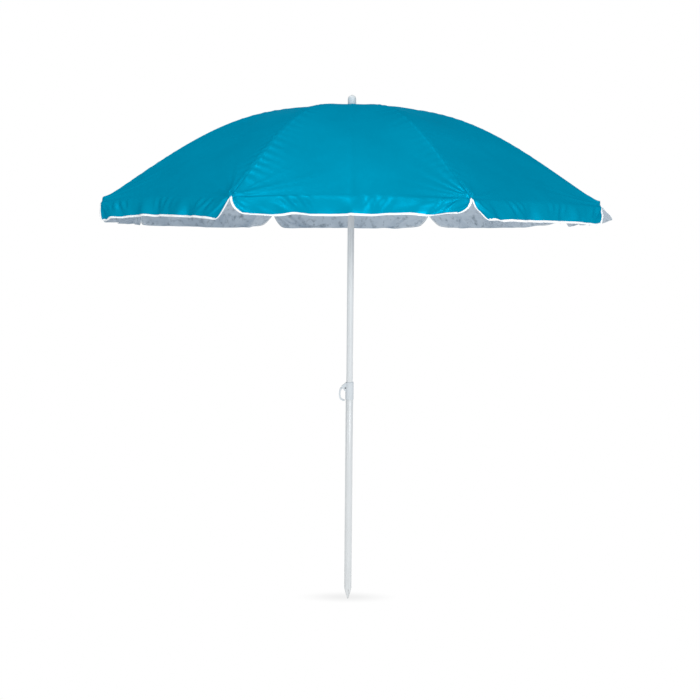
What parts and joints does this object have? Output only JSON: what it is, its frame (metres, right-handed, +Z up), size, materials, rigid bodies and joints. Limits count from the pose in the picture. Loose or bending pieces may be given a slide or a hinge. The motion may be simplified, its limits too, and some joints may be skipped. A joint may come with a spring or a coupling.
{
  "type": "beach umbrella",
  "caption": "Folding beach umbrella: telescopic steel pole with pointed foot, cam-lever height clamp, wire ribs and stretchers on a sliding runner, and a scalloped, silver-lined canopy.",
  "frame": {"origin": "blunt tip of the ground point, on the pole's axis", "axes": "+Z up the pole, -Y the front, -X the side of the clamp lever"},
  "size_m": [1.5438, 1.5438, 1.713],
  "materials": {
    "pole_paint": "pale grey-white powder coat, satin",
    "collar_plastic": "satin moulded plastic, off-white",
    "finial_plastic": "semi-gloss moulded plastic, off-white",
    "hub_plastic": "white moulded plastic, fine grain",
    "steel_wire": "pale enamel over steel wire and strip",
    "plated_steel": "zinc-plated pins, rings and springs",
    "canopy_fabric": "coated woven polyester, turquoise blue outside with a slight sheen",
    "canopy_lining": "silver reflective coating on the inside of the fabric",
    "binding": "white woven bias binding"
  },
  "bodies": {
    "lower_pole": {"lower_tube": "pole_paint", "clamp_collar": "collar_plastic", "clamp_pin": "plated_steel", "collar_rivet": "plated_steel"},
    "lever": {"clamp_lever": "collar_plastic"},
    "bush": {"guide_bush": "hub_plastic"},
    "upper_pole": {"upper_tube": "pole_paint", "crown_hub": "hub_plastic", "crown_ring": "plated_steel", "crown_rivet": "plated_steel", "finial_cap": "finial_plastic", "catch_spring": "plated_steel"},
    "catch": {"runner_catch": "plated_steel"},
    "arm_1": {"rib_1": "steel_wire", "rib_tip_1": "hub_plastic", "joint_clip_1": "steel_wire", "canopy_panel_1": "canopy_fabric"},
    "arm_2": {"rib_2": "steel_wire", "rib_tip_2": "hub_plastic", "joint_clip_2": "steel_wire", "canopy_panel_2": "canopy_fabric"},
    "arm_3": {"rib_3": "steel_wire", "rib_tip_3": "hub_plastic", "joint_clip_3": "steel_wire", "canopy_panel_3": "canopy_fabric"},
    "arm_4": {"rib_4": "steel_wire", "rib_tip_4": "hub_plastic", "joint_clip_4": "steel_wire", "canopy_panel_4": "canopy_fabric"},
    "arm_5": {"rib_5": "steel_wire", "rib_tip_5": "hub_plastic", "joint_clip_5": "steel_wire", "canopy_panel_5": "canopy_fabric"},
    "arm_6": {"rib_6": "steel_wire", "rib_tip_6": "hub_plastic", "joint_clip_6": "steel_wire", "canopy_panel_6": "canopy_fabric"},
    "arm_7": {"rib_7": "steel_wire", "rib_tip_7": "hub_plastic", "joint_clip_7": "steel_wire", "canopy_panel_7": "canopy_fabric"},
    "arm_8": {"rib_8": "steel_wire", "rib_tip_8": "hub_plastic", "joint_clip_8": "steel_wire", "canopy_panel_8": "canopy_fabric"},
    "strut_1": {"stretcher_1": "steel_wire"},
    "strut_2": {"stretcher_2": "steel_wire"},
    "strut_3": {"stretcher_3": "steel_wire"},
    "strut_4": {"stretcher_4": "steel_wire"},
    "strut_5": {"stretcher_5": "steel_wire"},
    "strut_6": {"stretcher_6": "steel_wire"},
    "strut_7": {"stretcher_7": "steel_wire"},
    "strut_8": {"stretcher_8": "steel_wire"},
    "slider": {"runner": "hub_plastic", "runner_ring": "plated_steel"}
  },
  "joints": [
    {"name": "pole_slide", "type": "slide", "parent": "lower_pole", "child": "bush", "axis": [0, 0, 1], "range_m": [-0.55, 0.05]},
    {"name": "pole_swivel", "type": "hinge", "parent": "bush", "child": "upper_pole", "pos_m": [0, 0, 0.612], "axis": [0, 0, 1], "continuous": true},
    {"name": "clamp_lever_open", "type": "hinge", "parent": "lower_pole", "child": "lever", "pos_m": [-0.0145, 0, 0.738], "axis": [0, 1, 0], "range_deg": [0, 65]},
    {"name": "catch_press", "type": "slide", "parent": "upper_pole", "child": "catch", "axis": [0, 1, 0], "range_m": [0, 0.0046], "stiffness_N_per_m": 400, "deforming": ["catch_spring"]},
    {"name": "canopy_fold", "type": "hinge", "parent": "upper_pole", "child": "arm_1", "pos_m": [0.00689, -0.01663, 1.661], "axis": [0.9239, 0.3827, 0], "range_deg": [0, 66], "deforming": ["canopy_panel_1", "runner_catch"]},
    {"name": "rib_2_fold", "type": "hinge", "parent": "upper_pole", "child": "arm_2", "pos_m": [0.01663, -0.00689, 1.661], "axis": [0.3827, 0.9239, 0], "range_deg": [0, 66], "deforming": ["canopy_panel_2"]},
    {"name": "rib_3_fold", "type": "hinge", "parent": "upper_pole", "child": "arm_3", "pos_m": [0.01663, 0.00689, 1.661], "axis": [-0.3827, 0.9239, 0], "range_deg": [0, 66], "deforming": ["canopy_panel_3"]},
    {"name": "rib_4_fold", "type": "hinge", "parent": "upper_pole", "child": "arm_4", "pos_m": [0.00689, 0.01663, 1.661], "axis": [-0.9239, 0.3827, 0], "range_deg": [0, 66], "deforming": ["canopy_panel_4"]},
    {"name": "rib_5_fold", "type": "hinge", "parent": "upper_pole", "child": "arm_5", "pos_m": [-0.00689, 0.01663, 1.661], "axis": [-0.9239, -0.3827, 0], "range_deg": [0, 66], "deforming": ["canopy_panel_5"]},
    {"name": "rib_6_fold", "type": "hinge", "parent": "upper_pole", "child": "arm_6", "pos_m": [-0.01663, 0.00689, 1.661], "axis": [-0.3827, -0.9239, 0], "range_deg": [0, 66], "deforming": ["canopy_panel_6"]},
    {"name": "rib_7_fold", "type": "hinge", "parent": "upper_pole", "child": "arm_7", "pos_m": [-0.01663, -0.00689, 1.661], "axis": [0.3827, -0.9239, 0], "range_deg": [0, 66], "deforming": ["canopy_panel_7"]},
    {"name": "rib_8_fold", "type": "hinge", "parent": "upper_pole", "child": "arm_8", "pos_m": [-0.00689, -0.01663, 1.661], "axis": [0.9239, -0.3827, 0], "range_deg": [0, 66], "deforming": ["canopy_panel_8"]},
    {"name": "stretcher_1_fold", "type": "hinge", "parent": "arm_1", "child": "strut_1", "pos_m": [0.16838, -0.40651, 1.576], "axis": [0.9239, 0.3827, 0], "range_deg": [-132, 0]},
    {"name": "stretcher_2_fold", "type": "hinge", "parent": "arm_2", "child": "strut_2", "pos_m": [0.40651, -0.16838, 1.576], "axis": [0.3827, 0.9239, 0], "range_deg": [-132, 0]},
    {"name": "stretcher_3_fold", "type": "hinge", "parent": "arm_3", "child": "strut_3", "pos_m": [0.40651, 0.16838, 1.576], "axis": [-0.3827, 0.9239, 0], "range_deg": [-132, 0]},
    {"name": "stretcher_4_fold", "type": "hinge", "parent": "arm_4", "child": "strut_4", "pos_m": [0.16838, 0.40651, 1.576], "axis": [-0.9239, 0.3827, 0], "range_deg": [-132, 0]},
    {"name": "stretcher_5_fold", "type": "hinge", "parent": "arm_5", "child": "strut_5", "pos_m": [-0.16838, 0.40651, 1.576], "axis": [-0.9239, -0.3827, 0], "range_deg": [-132, 0]},
    {"name": "stretcher_6_fold", "type": "hinge", "parent": "arm_6", "child": "strut_6", "pos_m": [-0.40651, 0.16838, 1.576], "axis": [-0.3827, -0.9239, 0], "range_deg": [-132, 0]},
    {"name": "stretcher_7_fold", "type": "hinge", "parent": "arm_7", "child": "strut_7", "pos_m": [-0.40651, -0.16838, 1.576], "axis": [0.3827, -0.9239, 0], "range_deg": [-132, 0]},
    {"name": "stretcher_8_fold", "type": "hinge", "parent": "arm_8", "child": "strut_8", "pos_m": [-0.16838, -0.40651, 1.576], "axis": [0.9239, -0.3827, 0], "range_deg": [-132, 0]},
    {"name": "runner_travel", "type": "hinge", "parent": "strut_1", "child": "slider", "pos_m": [0.00689, -0.01663, 1.491], "axis": [0.9239, 0.3827, 0], "range_deg": [0, 66]}
  ],
  "couplings": [
    {"joint": "rib_2_fold", "follows": "canopy_fold", "ratio": 1},
    {"joint": "rib_3_fold", "follows": "canopy_fold", "ratio": 1},
    {"joint": "rib_4_fold", "follows": "canopy_fold", "ratio": 1},
    {"joint": "rib_5_fold", "follows": "canopy_fold", "ratio": 1},
    {"joint": "rib_6_fold", "follows": "canopy_fold", "ratio": 1},
    {"joint": "rib_7_fold", "follows": "canopy_fold", "ratio": 1},
    {"joint": "rib_8_fold", "follows": "canopy_fold", "ratio": 1},
    {"joint": "stretcher_1_fold", "follows": "canopy_fold", "ratio": -2},
    {"joint": "stretcher_2_fold", "follows": "canopy_fold", "ratio": -2},
    {"joint": "stretcher_3_fold", "follows": "canopy_fold", "ratio": -2},
    {"joint": "stretcher_4_fold", "follows": "canopy_fold", "ratio": -2},
    {"joint": "stretcher_5_fold", "follows": "canopy_fold", "ratio": -2},
    {"joint": "stretcher_6_fold", "follows": "canopy_fold", "ratio": -2},
    {"joint": "stretcher_7_fold", "follows": "canopy_fold", "ratio": -2},
    {"joint": "stretcher_8_fold", "follows": "canopy_fold", "ratio": -2},
    {"joint": "runner_travel", "follows": "canopy_fold", "ratio": 1}
  ]
}
